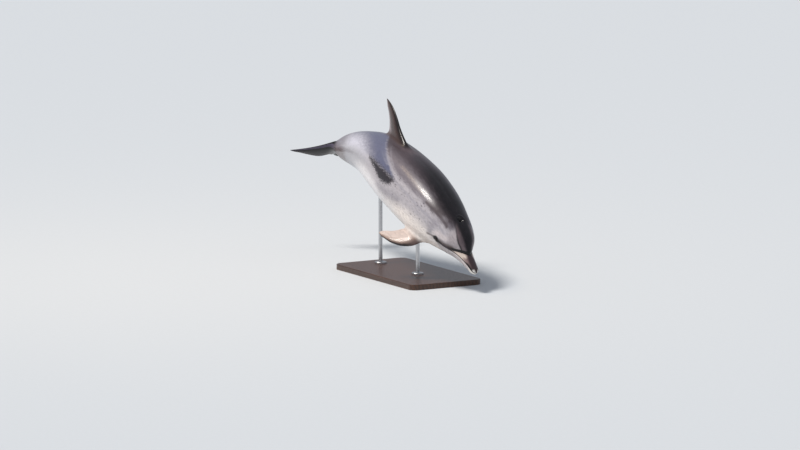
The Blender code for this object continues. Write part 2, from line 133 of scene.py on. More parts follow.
MOUTH_DEPTH, MOUTH_WIDTH = 0.2, 0.1
LIP_HEIGHT, LIPS = 0.05, ((0.3, 0.18), (-0.32, 0.16))  # each lip's place and width
CREASE_DEPTH, CREASE_WIDTH = 0.16, 0.22
KEELS = ((0.3, 90, 11), (0.26, -90, 11), (-0.16, 48, 20), (-0.14, -48, 20))  # height, degrees, width
EAR_BACK, EAR_UP, EAR_DEPTH, EAR_RADIUS = 2.9, -0.55, 0.12, 0.13  # from the eye
LID_HALF_LENGTH, LID_HALF_HEIGHT, LID_POWER, LID_TILT = 0.55, 0.34, 1.75, -10
LID_THICKNESS = 0.045
LID_EDGE = ((0.02, -0.012), (0.035, -0.03), (0.035, -0.06), (0, -0.14))  # inward, and up from it
NAVEL_S, SLIT_START, SLIT_END, VENT_S = 47.2, 64.6, 68.8, 70.3
EYEBALL_RINGS, EYEBALL_COLUMNS, CORNEA_HEIGHT = 26, 48, 0.03


def smooth(x, low, high):
    """0 below low and 1 above high, with a smooth rise between. High may be the smaller one."""
    t = np.clip((x - low) / (high - low), 0, 1)
    return t * t * (3 - 2 * t)


def bump(x, middle, width):
    return np.exp(-((x - middle) / width)**2)


def read_table(table, s):
    """Each column of a table at s, by a monotone cubic, which never overshoots the rows."""
    rows = np.array(table, float)
    x, y = rows[:, 0], rows[:, 1:]
    step = np.diff(x)[:, None]
    slope = np.diff(y, axis=0) / step
    before, after = slope[:-1], slope[1:]
    same_sign = before * after > 0
    harmonic = 2 * before * after / np.where(same_sign, before + after, 1)
    tangent = np.vstack([slope[:1], np.where(same_sign, harmonic, 0), slope[-1:]])
    s = np.clip(np.asarray(s, float), x[0], x[-1])
    i = np.clip(np.searchsorted(x, s, side="right") - 1, 0, len(x) - 2)
    width = step[i, 0]
    t = ((s - x[i]) / width)[..., None]
    width = width[..., None]
    found = ((2 * t**3 - 3 * t**2 + 1) * y[i] + (t**3 - 2 * t**2 + t) * width * tangent[i]
             + (3 * t**2 - 2 * t**3) * y[i + 1] + (t**3 - t**2) * width * tangent[i + 1])
    return np.moveaxis(found, -1, 0)


def make_spine():
    """Places and left and up directions along the spine, one row for each half of a hundredth."""
    start, end = SPINE_ENDS
    s = np.linspace(start, end, 2 * (end - start) + 1)
    pitch, yaw = (np.radians(read_table(table, s)[0]) for table in (SPINE_PITCH, SPINE_YAW))
    forward = np.stack([np.cos(pitch) * np.cos(yaw), np.cos(pitch) * np.sin(yaw), np.sin(pitch)], 1)
    left = np.stack([-np.sin(yaw), np.cos(yaw), np.zeros_like(yaw)], 1)
    up = np.cross(forward, left)
    roll = np.radians(SPINE_ROLL)
    left, up = left * np.cos(roll) + up * np.sin(roll), up * np.cos(roll) - left * np.sin(roll)
    steps = (forward[1:] + forward[:-1]) / 2 * np.diff(s)[:, None]
    place = -np.vstack([np.zeros(3), np.cumsum(steps, axis=0)]) * UNIT
    anchor = np.array([np.interp(SPINE_ANCHOR, s, place[:, k]) for k in range(3)])
    return s, place - anchor + ANCHOR_PLACE, left, up


SPINE = make_spine()


def bend(points):
    """Straight-frame points (s, y, z) in hundredths, laid along the spine, in metres."""
    points = np.asarray(points, float)
    s = points[..., 0]
    place, left, up = (np.stack([np.interp(s, SPINE[0], rows[:, k]) for k in range(3)], -1)
                       for rows in SPINE[1:])
    return place + left * points[..., 1:2] * UNIT + up * points[..., 2:3] * UNIT


def halve(low, high, steps, within):
    """Closes in from both ends on where `within` turns from true to false."""
    for _ in range(steps):
        middle = (low + high) / 2
        inside = within(middle)
        low, high = np.where(inside, middle, low), np.where(inside, high, middle)
    return low, high


def oval_reach(angle, centre, above, below, half):
    """How far a ray from the height `centre` reaches inside an oval."""
    middle, height = (above - below) / 2, (above + below) / 2

    def within(reach):
        y, z = reach * np.cos(angle), centre + reach * np.sin(angle)
        return np.abs(y / half)**OVAL_POWER + np.abs((z - middle) / height)**OVAL_POWER < 1
    return halve(np.zeros_like(angle), np.full_like(angle, FARTHEST), REACH_STEPS, within)[0]


def on_ring(s, angle, reach):
    """Straight-frame points at a distance from the middle of the body's rings."""
    return np.stack([s, reach * np.cos(angle), ring_centre(s) + reach * np.sin(angle)], -1)


def ring_centre(s):
    beak, body = read_table(BEAK, s), read_table(HEAD_AND_BODY, s)
    behind_beak = np.clip((s - CENTRE_SHIFT[0]) / (CENTRE_SHIFT[1] - CENTRE_SHIFT[0]), 0, 1)
    return ((beak[0] - beak[1]) / 2 * tip_rounding(s) * (1 - behind_beak)
            + (body[0] - body[1]) / 2 * behind_beak)


def tip_rounding(s):
    tip = np.clip(s / BEAK_TIP_ROUNDING, 0, 1)
    return np.sqrt(1 - (1 - tip)**2)


def body_reach(s, angle):
    """The distance from the ring's centre to the body's surface, and how far the head outgrows the beak."""
    s, angle = np.broadcast_arrays(np.asarray(s, float), np.asarray(angle, float))
    beak, centre = read_table(BEAK, s) * tip_rounding(s), ring_centre(s)
    beak_part = np.where(s < BEAK_END, oval_reach(angle, centre, *beak), 0)
    body_part = np.where(s > MELON_FRONT, oval_reach(angle, centre, *read_table(HEAD_AND_BODY, s)), 0)
    lead = body_part - beak_part
    return (beak_part + body_part + np.sqrt(lead**2 + CREASE_FILLET**2)) / 2, lead


EYE_REACH = body_reach(EYE_S, -np.radians(EYE_ANGLE))[0]  # of the body, where the eye is


def height_round(angle):
    """Degrees above the side line, from -90 at the belly to 90 at the back, alike on both sides."""
    turned = (np.degrees(angle) + 90) % 360 - 90
    return np.where(turned > 90, 180 - turned, turned)


def mouth_height(s):
    """The degrees above the side line where the mouth line runs, and behind its corner the eye."""
    s = np.asarray(s, float)
    goal = read_table(MOUTH, s)[0]

    def below(degrees):
        return on_ring(s, np.radians(degrees), body_reach(s, np.radians(degrees))[0])[..., 2] < goal
    low, high = halve(np.full_like(s, MOUTH_LOWEST), np.full_like(s, MOUTH_HIGHEST), MOUTH_STEPS, below)
    to_eye, to_side = smooth(s, MOUTH_CORNER - 0.8, MOUTH_CORNER + 0.8), smooth(s, 17, 24)
    return ((low + high) / 2 * (1 - to_eye) - EYE_ANGLE * to_eye) * (1 - to_side)


def eye_place(s, degrees):
    """Where a point lies from the middle of the eye: back and up, in hundredths."""
    return s - EYE_S, np.radians(degrees + EYE_ANGLE) * EYE_REACH


def lid_reach(around):
    """The radius of the lids' opening in each direction from the middle of the eye."""
    turned = around - np.radians(LID_TILT)
    long, high = np.abs(np.cos(turned)) / LID_HALF_LENGTH, np.abs(np.sin(turned)) / LID_HALF_HEIGHT
    return (long**LID_POWER + high**LID_POWER)**(-1 / LID_POWER)


def relief(s, angle, reach, lead):
    """How far the skin stands out from the plain body."""
    degrees = height_round(angle)
    mouth = mouth_height(s)
    from_mouth = np.radians(degrees - mouth) * reach
    in_mouth = np.minimum(1, reach / 1.2) * (1 - smooth(s, MOUTH_CORNER - 0.4, MOUTH_CORNER + 0.15))
    lips = LIP_HEIGHT * sum(bump(from_mouth, middle, width) for middle, width in LIPS)
    out = (lips - MOUTH_DEPTH * bump(from_mouth, 0, MOUTH_WIDTH)) * in_mouth
    # The fold behind the corner of the mouth.
    out -= 0.06 * bump(s, MOUTH_CORNER + 0.25, 0.16) * bump(from_mouth, 0, 0.7)
    # The crease between melon and beak fades down the side of the face.
    beside = smooth(degrees, mouth + 6, mouth + 22) * smooth(s, 10.2, 8.6)
    out -= CREASE_DEPTH * bump(lead, 0.06, CREASE_WIDTH) * beside
    # Keels above and below the tail stock, with the flat hollow sides between them.
    stock = smooth(s, 66, 78) * smooth(s, 95, 88)
    out += stock * sum(height * bump(degrees, middle, width) for height, middle, width in KEELS)
    # A slight furrow between the long muscles of the back, in front of the fin.
    out -= 0.07 * smooth(s, 17, 24) * smooth(s, 44, 38) * bump(degrees, 90, 5)
    out += blowhole_relief(s, degrees, reach) + belly_relief(s, degrees, reach)
    # The ear's pinhole, the soft swelling round the eye, and the folds round its lids.
    back, up = eye_place(s, degrees)
    out -= EAR_DEPTH * bump(np.hypot(back - EAR_BACK, up - EAR_UP), 0, EAR_RADIUS)
    from_eye = np.hypot(back, up)
    out += 0.1 * bump(from_eye, 0, 1.3)
    spread = from_eye / lid_reach(np.arctan2(up, back))
    out -= 0.03 * bump(spread, 2.0, 0.16) * smooth(up, -0.35, 0.1)
    out -= 0.028 * bump(spread, 1.9, 0.16) * smooth(up, 0.1, -0.3)
    out -= 0.02 * bump(spread, 2.8, 0.22) * smooth(np.abs(up), 0.1, 0.5)
    return out


def blowhole_relief(s, degrees, reach):
    """The open blowhole: a hollow under a steep crescent wall behind it, with a low lip round that."""
    back = s - BLOWHOLE_S
    across = np.radians(90 - degrees) * reach
    from_middle, turn = np.hypot(back, across), np.degrees(np.arctan2(across, back))
    past_rim = from_middle - BLOWHOLE_RADIUS
    on_arc = smooth(np.abs(turn), BLOWHOLE_HALF_ARC + 30, BLOWHOLE_HALF_ARC)
    hollow = -0.62 * smooth(past_rim, 0.3, -0.45) * smooth(back, -0.8, 0.3)
    wall_and_lip = 0.12 * bump(past_rim, 0.45, 0.24) - 0.16 * bump(past_rim, -0.3, 0.34)
    dip = -0.1 * bump(back, -0.2, 1.6) * bump(across, 0, 1.7)
    return hollow + wall_and_lip * on_arc + dip


def belly_relief(s, degrees, reach):
    """The navel, the slit under the tail stock with the two small ones beside it, and the vent."""
    across = np.radians(degrees + 90) * reach

    def between(front, rear, ease):
        return smooth(s, front - ease, front + ease) * smooth(s, rear + ease, rear - ease)
    navel = -0.16 * bump(np.hypot((s - NAVEL_S) / 1.8, across), 0, 0.2)
    slit = -0.22 * between(SLIT_START, SLIT_END, 0.4) * bump(across, 0, 0.11)
    lips = 0.08 * between(SLIT_START, SLIT_END, 0.6) * bump(across, 0.34, 0.2)
    beside = -0.1 * between(66.2, 67.6, 0.2) * bump(across, 0.85, 0.08)
    vent = -0.14 * bump(np.hypot(s - VENT_S, across), 0, 0.14)
    return navel + slit + lips + beside + vent


def skin_point(s, angle):
    """Straight-frame points of the skin at s and angle, with its relief."""
    s, angle = np.broadcast_arrays(np.asarray(s, float), np.asarray(angle, float))
    reach, lead = body_reach(s, angle)
    return on_ring(s, angle, reach + relief(s, angle, reach, lead))


def row_stations():
    """The s of each row of the skin."""
    rows = list(TIP_END * (np.arange(1, TIP_ROWS + 1) / TIP_ROWS)**2)
    for end, count in ROW_RUNS:
        rows.extend(np.linspace(rows[-1], end, count + 1)[1:])
    return np.array(rows)


def column_angles(s):
    """The angle of each column in each row. One column a side follows the mouth line to the eye."""
    base = np.arange(COLUMNS) * 360 / COLUMNS
    side = np.where((base > 90) & (base < 270), -1, 1)
    offset = np.where(side > 0, (base + 180) % 360 - 180, 180 - base)  # degrees above the side line
    pinch = COLUMN_PINCH * smooth(s, 16.5, 12)[:, None]
    near = np.abs(offset) < PINCH_REACH
    crowded = offset - np.where(near, pinch * PINCH_REACH / np.pi * np.sin(np.pi * offset / PINCH_REACH), 0)
    pull = np.cos(np.radians(np.clip(offset * 1.5, -90, 90)))**2
    height = crowded + mouth_height(s)[:, None] * pull
    return np.radians(np.where(side > 0, height, 180 - height))


class Shell:
    """The points of a shell in the straight frame, its faces, and the values carried at each point."""

    def __init__(self, *names):
        self.points, self.faces, self.count = [], [], 0
        self.values = {name: [] for name in names}

    def add(self, points, **values):
        """Adds points and returns their numbers, in the same arrangement."""
        flat = np.asarray(points, float).reshape(-1, 3)
        numbers = np.arange(self.count, self.count + len(flat)).reshape(np.shape(points)[:-1])
        self.points.append(flat)
        self.count += len(flat)
        for name, parts in self.values.items():
            parts.append(np.broadcast_to(values.get(name, 0.0), numbers.shape).ravel())
        return numbers

    def quads(self, a, b, c, d):
        self.faces.append(np.stack([np.ravel(x) for x in (a, b, c, d)], 1))

    def rings(self, first, second):
        """Joins two closed rings of as many points."""
        self.quads(first, np.roll(first, -1), np.roll(second, -1), second)

    def grow(self, ring, points, **values):
        """Adds a ring of points, joined to the ring before, and returns it."""
        after = self.add(points, **values)
        self.rings(ring, after)
        return after

    def close(self, ring):
        """Closes a flat ring across, from one side to the other, between its first and its middle point."""
        half = len(ring) // 2
        left, right = ring[1:half], ring[:half:-1]
        self.quads(left[:-1], left[1:], right[1:], right[:-1])
        self.faces.append(np.array([[ring[0], left[0], right[0]], [left[-1], ring[half], right[-1]]]))

    def fan(self, ring, point, **values):
        """Closes a ring with a point of its own."""
        end = self.add([point], **values)[0]
        self.faces.append(np.stack([ring, np.roll(ring, -1), np.full_like(ring, end)], 1))

    def finish(self, name, markings=None):
        """An object of this shell, laid along the spine, with its values as attributes."""
        used = np.zeros(self.count, bool)
        for part in self.faces:
            used[part.ravel()] = True
        number = np.cumsum(used) - 1
        points = np.concatenate(self.points)[used]
        values = {key: np.concatenate(parts)[used] for key, parts in self.values.items()}
        mesh = bpy.data.meshes.new(name)
        faces = [face for part in self.faces for face in number[part].tolist()]
        mesh.from_pydata(bend(points).tolist(), [], faces)
        shape = bmesh.new()
        shape.from_mesh(mesh)
        if markings:
            shape.verts.ensure_lookup_table()
            root = np.flatnonzero((values["fluke"] > 0) & (values["span"] < ROOT_SPAN))
            verts = [shape.verts[k] for k in root.tolist()]
            for _ in range(ROOT_SMOOTHING):
                axes = {"use_axis_" + axis: True for axis in "xyz"}
                bmesh.ops.smooth_vert(shape, verts=verts, factor=0.5, **axes)
            values.update(markings(points))
        bmesh.ops.recalc_face_normals(shape, faces=shape.faces)
        if shape.calc_volume(signed=True) < 0:
            bmesh.ops.reverse_faces(shape, faces=shape.faces)
        shape.to_mesh(mesh)
        shape.free()
        for key, value in values.items():
            attribute = mesh.attributes.new(key, "FLOAT", "POINT")
            attribute.data.foreach_set("value", value.astype(np.float32))
        mesh.shade_smooth()
        return add_object(name, mesh)


def window(rows, front, rear, column, half):
    """The row and column numbers round a window in the skin's grid, from the middle of its front and up."""
    i0, i1 = np.searchsorted(rows, front), np.searchsorted(rows, rear)
    length = i1 - i0
    up, across = np.arange(half), np.arange(2 * half)
    i = np.concatenate([np.full(half, i0), i0 + np.arange(length), np.full(2 * half, i1),
                        i1 - np.arange(length), np.full(half, i0)])
    j = np.concatenate([up, np.full(length, half), half - across, np.full(length, -half), up - half])
    return i, (column + j) % COLUMNS, (i0, i1, column - half, column + half)


def chord_shares(half, length):
    """For each point round a window, its place from leading to trailing edge, and the face it is on."""
    ease, ease_off = (np.arange(half) / half)**2, (1 - np.arange(half) / half)**2
    rear = 1 - TRAILING_SHARE
    share = np.concatenate([
        LEADING_SHARE * ease, np.linspace(LEADING_SHARE, TRAILING_SHARE, length, endpoint=False),
        1 - rear * ease_off, 1 - rear * ease,
        np.linspace(TRAILING_SHARE, LEADING_SHARE, length, endpoint=False), LEADING_SHARE * ease_off])
    return share, np.where(np.arange(len(share)) <= 2 * half + length, 1.0, -1.0)


def fin_point(outline, place, share, face, v):
    """Straight-frame points of a fin: share of the chord, face (1 or -1), and v from 0 at its root to 1."""
    rows = np.array(outline)
    middle = (rows[:, 0:2] + rows[:, 2:4]) / 2
    along = np.append(0, np.cumsum(np.linalg.norm(np.diff(middle, axis=0), axis=1)))
    lead_a, lead_b, trail_a, trail_b, thick = read_table(np.column_stack([along, rows]), v * along[-1])
    shape = np.sqrt(share) * (1 - share) / (np.sqrt(FIN_THICKEST) * (1 - FIN_THICKEST))
    edge = 2 * np.sqrt(share * (1 - share))
    swell = face * (shape * (1 - FIN_TRAILING_EDGE) + edge * FIN_TRAILING_EDGE) * thick / 2
    return place(lead_a + (trail_a - lead_a) * share, lead_b + (trail_b - lead_b) * share, swell)


def inside_body(points):
    s, y, z = np.moveaxis(points, -1, 0)
    z = z - ring_centre(s)
    return np.hypot(y, z) < body_reach(s, np.arctan2(z, y))[0]


def graft(skin, grid, hole, outline, place, kind, turn):
    """Grows a fin with a fillet out of a window. Turn is 1 where the fin's face 1 is at the window's top."""
    fillet = FILLETS[kind]
    i, j, (i0, i1, j0, j1) = hole
    share, face = chord_shares((j1 - j0) // 2, i1 - i0)
    face = face * turn

    def at(v):
        return fin_point(outline, place, share, face, v)
    start = np.zeros_like(share)
    root = sum(halve(start, start + DEEPEST_ROOT, ROOT_STEPS, lambda v: inside_body(at(v)))) / 2
    ring = grid[i, j]
    start, corner, end = np.concatenate(skin.points)[ring], at(root), at(root + fillet)
    for t in np.linspace(0, 1, FILLET_ROWS + 1)[1:]:
        points = (1 - t)**2 * start + 2 * t * (1 - t) * corner + t**2 * end
        ring = skin.grow(ring, points, chord=share, upper=face, span=fillet * t, **{kind: smooth(t, 0, 1)})
    for w in np.sin(np.linspace(0, np.pi / 2, FIN_ROWS + 1))[1:]:
        points = at(root + fillet + (1 - root - fillet) * w)
        ring = skin.grow(ring, points, chord=share, upper=face, span=fillet + (1 - fillet) * w, **{kind: 1.0})
    skin.close(ring)


def eye_axes(side):
    """The eyeball's centre and its back, up and outward directions, in the straight frame."""
    angle = np.radians(-EYE_ANGLE if side > 0 else 180 + EYE_ANGLE)
    step = 0.05
    s, angles = EYE_S + np.array([0, step, 0]), angle + np.array([0, 0, step / EYE_REACH * side])
    middle, behind, above = on_ring(s, angles, body_reach(s, angles)[0])
    back = (behind - middle) / np.linalg.norm(behind - middle)
    up = above - middle - back * ((above - middle) @ back)
    up /= np.linalg.norm(up)
    outward = np.cross(back, up)
    outward *= np.sign(outward[1] * side)
    return middle - outward * EYE_DEPTH, back, up, outward


def open_eye(skin, grid, angles, rows, hole, side):
    """Fills a window in the grid with rings that close in on the eye, and rolls the lids in behind them."""
    i, j, _ = hole
    centre, back_axis, up_axis, outward = eye_axes(side)
    back, up = eye_place(rows[i], height_round(angles[i, j]))
    around, far = np.arctan2(up, back), np.hypot(back, up)
    near = lid_reach(around)
    ring = grid[i, j]
    lid_ball = EYE_RADIUS + LID_THICKNESS
    for t in np.linspace(0, 1, EYE_RINGS + 1)[1:]:
        distance = near + (far - near) * (1 - t)**EYE_RING_POWER
        degrees = -EYE_ANGLE + np.degrees(distance * np.sin(around) / EYE_REACH)
        angle = np.radians(degrees if side > 0 else 180 - degrees)
        points = skin_point(EYE_S + distance * np.cos(around), angle)
        from_ball = points - centre
        hugging = centre + from_ball / np.linalg.norm(from_ball, axis=1)[:, None] * lid_ball
        ring = skin.grow(ring, points + (hugging - points) * bump(distance / near, 1, 0.55)[:, None])
    for inward, height in LID_EDGE:
        reach, radius = near - inward, lid_ball + height
        flat = (np.cos(around) * reach)[:, None] * back_axis + (np.sin(around) * reach)[:, None] * up_axis
        ring = skin.grow(ring, centre + flat + outward * np.sqrt(radius**2 - reach**2)[:, None])


def flipper_place(side):
    back, out = np.array(FLIPPER_BACK), np.array(FLIPPER_OUT)
    normal = np.cross(back, out)
    return lambda a, b, swell: (FLIPPER_ROOT + a[..., None] * back + b[..., None] * out
                                + swell[..., None] * normal) * np.array([1, side, 1])


def fluke_place(side):
    def place(a, b, swell):
        height = (FLUKE_HINGE - a) * FLUKE_SLOPE + FLUKE_CURL * b**2
        return np.stack([a, b * side, swell + height], -1)
    return place


def dorsal_place(a, b, swell):
    return np.stack([a, swell, b], -1)


def column_at(degrees, side):
    """The number of the column that starts out nearest to a height round the body."""
    angle = degrees if side > 0 else 180 - degrees
    return int(round(angle / 360 * COLUMNS)) % COLUMNS


def make_skin():
    """The whole skin: a grid round the body, with the fins and the eyes set into windows in it."""
    skin = Shell("dorsal", "flipper", "fluke", "chord", "span", "upper")
    rows = row_stations()
    angles = column_angles(rows)
    grid = skin.add(skin_point(rows[:, None], angles))
    holes = {}
    for kind, (front, rear, middle, half) in WINDOWS.items():
        for side in (1,) if kind == "dorsal" else (1, -1):
            holes[kind, side] = window(rows, front, rear, column_at(middle, side), half)
    solid = np.ones((len(rows) - 1, COLUMNS), bool)
    for _, _, (i0, i1, j0, j1) in holes.values():
        solid[i0:i1, np.arange(j0, j1) % COLUMNS] = False
    i, j = np.nonzero(solid)
    after = (j + 1) % COLUMNS
    skin.quads(grid[i, j], grid[i + 1, j], grid[i + 1, after], grid[i, after])
    skin.fan(grid[0], [0, 0, float(ring_centre(0))])
    close_tail(skin, grid[-1], rows[-1])
    graft(skin, grid, holes["dorsal", 1], DORSAL_FIN, dorsal_place, "dorsal", -1)
    for side in (1, -1):
        graft(skin, grid, holes["flipper", side], FLIPPER, flipper_place(side), "flipper", side)
        graft(skin, grid, holes["fluke", side], FLUKE, fluke_place(side), "fluke", side)
        open_eye(skin, grid, angles, rows, holes["eye", side], side)
    return skin.finish("dolphin_skin", markings)


def close_tail(skin, ring, s):
    """Rounds off the end of the body between the flukes."""
    points = np.concatenate(skin.points)[ring]
    middle = points.mean(axis=0)
    for step, size in TAIL_ROWS:
        shrunk = middle + (points - middle) * size
        shrunk[:, 0] = s + step
        ring = skin.grow(ring, shrunk)
    skin.fan(ring, [s + TAIL_END, middle[1], middle[2]])


def add_object(name, data):
    made = bpy.data.objects.new(name, data)
    bpy.context.scene.collection.objects.link(made)
    return made


def make_eyeball(side, name):
    """An eyeball with a raised cornea. Its attribute `gaze` is the distance from its front, in hundredths."""
    centre, back, up, outward = eye_axes(side)
    around = np.arange(EYEBALL_COLUMNS) * 2 * np.pi / EYEBALL_COLUMNS
    tilt = np.pi * (np.arange(1, EYEBALL_RINGS) / EYEBALL_RINGS)[:, None]
    flat = np.sin(tilt) * EYE_RADIUS
    along, across = flat * np.cos(around), flat * np.sin(around)
    cornea = CORNEA_HEIGHT * smooth(flat, 0.34, 0.2) * (tilt < np.pi / 2)
    height = (np.cos(tilt) * EYE_RADIUS + cornea)[..., None] * outward
    points = centre + along[..., None] * back + across[..., None] * up + height
    behind = (np.cos(tilt) < 0) * 2.0
    pupil = np.hypot(along, 1.9 * across + 0.02)
    ball = Shell("gaze", "gaze_across")
    grid = ball.add(points, gaze=flat + behind, gaze_across=pupil + behind)
    for a, b in zip(grid, grid[1:]):
        ball.rings(a, b)
    ball.fan(grid[0], centre + outward * (EYE_RADIUS + CORNEA_HEIGHT))
    ball.fan(grid[-1], centre - outward * EYE_RADIUS, gaze=2, gaze_across=2)
    return ball.finish(name)


# --- Markings, and lines of painted shade. Lines run through points (s, degrees above the side line) and are alike on both sides.
EDGES = {
    "cape": ((7, 76), (12, 76), (13.5, 66), (15, 61), (20, 58), (24, 62), (28, 64), (33, 66), (38, 69),
             (42, 75), (46, 85), (48, 96)),
    "fringe": ((10.5, 60), (11.8, 53), (13, 45.5), (14.5, 41), (18, 38.5), (22, 38.5), (26, 38), (31, 36),
               (36, 35.5), (40, 37), (43, 41), (46, 47), (49, 54), (52, 63), (55, 77), (57, 92)),
    "saddle": ((38, 24), (39.5, 29), (41.5, 34), (44, 41), (47, 49), (50, 58), (52.5, 68), (55, 80),
               (57, 93)),
    "stock": ((50, 10), (53, 21), (56, 30), (60, 41), (64.5, 53), (70, 66), (76, 79), (80, 92)),
    "belly": ((0, -12), (10, -20), (16, -16), (20, -5), (25, -3), (30, -7), (35, -15), (42, -22), (48, -13),
              (54, -7), (59, -10), (64, -22), (78, -42), (90, -60), (100, -75))}
LIES_UNDER = ("saddle", "stock", "belly")  # the other two lie above their edges
# Of these lines, shade and neck carry painted shade: low on the flank, and across the neck behind the eye.
LINES = {
    "shade": ((33.5, -4), (37, -8), (41, -13), (45, -16)),
    "neck": ((16.6, 44), (17.4, 33), (17.8, 20), (18.1, 8), (17.6, -2)),
    "eye_pale": ((12.2, 20), (13.6, 12), (14.9, 6.5), (15.8, 1)),
    "crease": ((5.75, 100), (6, 80), (6.35, 62), (6.95, 46), (7.8, 31), (8.9, 17), (9.9, 5), (11, -3),
               (12.4, -6.5), (13.6, -7)),
    "melon": ((7.6, 47), (8.6, 50), (10.2, 54.5), (12, 61), (13.4, 70), (14.2, 80)),
    "streak": ((14.4, 42), (16.5, 43.5), (19, 45), (21.5, 44), (24, 42.5)),
    "eye_tail": ((15.2, -7.5), (16.6, -10), (18.2, -13))}
BLAZE_LINES = (((33, 31), (37, 31), (40, 33), (43, 39), (46, 45), (49, 51.5), (51.5, 60)),
               ((44.5, 37), (48, 43), (51, 51), (53, 60), (55, 71)),
               ((42, 43), (45.5, 52), (48, 60), (50, 69)))
BLAZE_NARROWING = 0.12  # how much narrower each line is than the one before
OUTLINES = {
    "patch": ((38, 22.5), (41, 24), (46, 24.5), (50, 24), (54, 23.5), (51.5, 18.5), (48.5, 12.5), (46, 7),
              (43.8, 4.5), (41.5, 7), (39.4, 13)),
    "muzzle": ((4.6, 6), (5.4, 16), (5.6, 28), (5.1, 40), (5.7, 48), (6.3, 43), (7, 30), (8.1, 15),
               (8.9, 4), (8.9, -3), (6, 2))}
LINE_STEPS = 8  # straight steps between two points of a line


def flowing(line):
    """The short steps, from point to point, of a smooth curve through a line's points."""
    line = np.array(line, float)
    ends = np.vstack([2 * line[0] - line[1], line, 2 * line[-1] - line[-2]])
    t = (np.arange(LINE_STEPS) / LINE_STEPS)[:, None]
    parts = []
    for a, b, c, d in zip(ends, ends[1:], ends[2:], ends[3:]):
        parts.append(0.5 * (2 * b + (c - a) * t + (2 * a - 5 * b + 4 * c - d) * t**2
                            + (3 * b - a - 3 * c + d) * t**3))
    points = np.vstack([*parts, line[-1:]])
    return zip(points, points[1:])


class Map:
    """Where the skin's points lie: s, degrees above the side line, and how many hundredths a degree is."""

    def __init__(self, points):
        self.s, self.side, z = points.T
        self.height = z - ring_centre(self.s)
        self.degrees = np.degrees(np.arctan2(self.height, np.abs(self.side)))
        self.per_degree = np.radians(np.clip(np.hypot(self.side, self.height), 0.5, 9))

    def above(self, line):
        """How far a point lies above a line, which runs level past its ends."""
        before, height, after = (read_table(line, self.s + step)[0] for step in (-0.25, 0, 0.25))
        slope = (after - before) / 0.5
        return (self.degrees - height) * self.per_degree / np.hypot(1, slope * self.per_degree)

    def distance(self, line):
        """The distance to a line."""
        nearest = np.full(len(self.s), 99.0)
        for (s0, d0), (s1, d1) in flowing(line):
            run, rise = s1 - s0, (d1 - d0) * self.per_degree
            back, up = self.s - s0, (self.degrees - d0) * self.per_degree
            t = np.clip((back * run + up * rise) / (run**2 + rise**2), 0, 1)
            nearest = np.minimum(nearest, np.hypot(back - t * run, up - t * rise))
        return nearest

    def within(self, outline):
        """The distance inside a closed outline, below 0 outside it."""
        outline = (*outline, outline[0])
        inside = np.zeros(len(self.s), bool)
        for (s0, d0), (s1, d1) in flowing(outline):
            crosses = (d0 > self.degrees) != (d1 > self.degrees)
            at = s0 + (s1 - s0) * (self.degrees - d0) / np.where(d1 == d0, 1, d1 - d0)
            inside ^= crosses & (self.s < at)
        return np.where(inside, 1, -1) * self.distance(outline)


def markings(points):
    """The values that the skin's material makes markings, painted shade and a painted reflection of: places,
    and distances to lines.
    """
    place = Map(points)
    back, up = eye_place(place.s, place.degrees)
    blow_back, across = place.s - BLOWHOLE_S, (90 - place.degrees) * place.per_degree
    found = {
        "s": place.s, "degrees": place.degrees, "side": place.side, "height": place.height,
        "mouth": (place.degrees - mouth_height(place.s)) * place.per_degree,
        "eye": np.hypot(back, up) / lid_reach(np.arctan2(up, back)),
        "blowhole": np.hypot(blow_back, across) - BLOWHOLE_RADIUS + np.maximum(0, -blow_back),
        "crease_side": place.above(LINES["crease"]),
        "blaze": np.min([place.distance(line) + BLAZE_NARROWING * k
                         for k, line in enumerate(BLAZE_LINES)], 0)}
    for lines, measure in ((EDGES, place.above), (LINES, place.distance), (OUTLINES, place.within)):
        found.update({name: measure(line) for name, line in lines.items()})
    for name in LIES_UNDER:
        found[name] *= -1
    return found


# --- Materials. Colours are as seen on a screen, in percent.
FLANK, BELLY, SHADE = (70, 68, 70), (99, 95, 92), (59, 57, 60)
CAPE, CAPE_SOFT, CAPE_REAR = (7, 5.8, 7.2), (24, 21, 23.5), (46, 40, 41.5)
FRINGE, FRINGE_DARK = (45, 42.5, 45.5), (27, 23, 25)
SADDLE, STOCK = (37.5, 38.5, 47.5), (66, 65, 67.5)
# The second colour here is a painted sky reflection: a pale bluish sheen along the top of the tail stock.
STOCK_END, STOCK_TOP_SKY_REFLECTION = (53, 50, 52.5), (86, 85.5, 90.5)
PATCH, BLAZE, BROWN = (14, 12, 14.5), (66, 65, 68), (37, 30, 28.5)
# The last colour here is near black: for the dark stripes, the mouth's corner and the eye's ring, and for
# painted shade inside the open blowhole.
FACE, CROWN, DARK_STRIPE_AND_HOLLOW_SHADE = (69, 65.5, 66.5), (41, 36, 37.5), (1.5, 1, 1.5)
FACE_PALE, BELLY_REAR, BRIDLE = (84, 80, 80), (95, 93.5, 94), (33, 28, 27)
BEAK_TOP, BEAK_SIDE, MUZZLE = (23, 17.5, 18.5), (54, 46, 45.5), (84, 78, 73.5)
JAW, BEAK_TIP = (80, 77, 77), (95, 93, 90)
FIN_DARK, FIN_WARM, FIN_PALE = (9, 7, 7.5), (27, 20.5, 19), (58, 53, 54)
FLIPPER_PALE, FLIPPER_WARM, FLIPPER_DARK = (79, 72.5, 69.5), (55, 46, 42), (9, 6.5, 6)
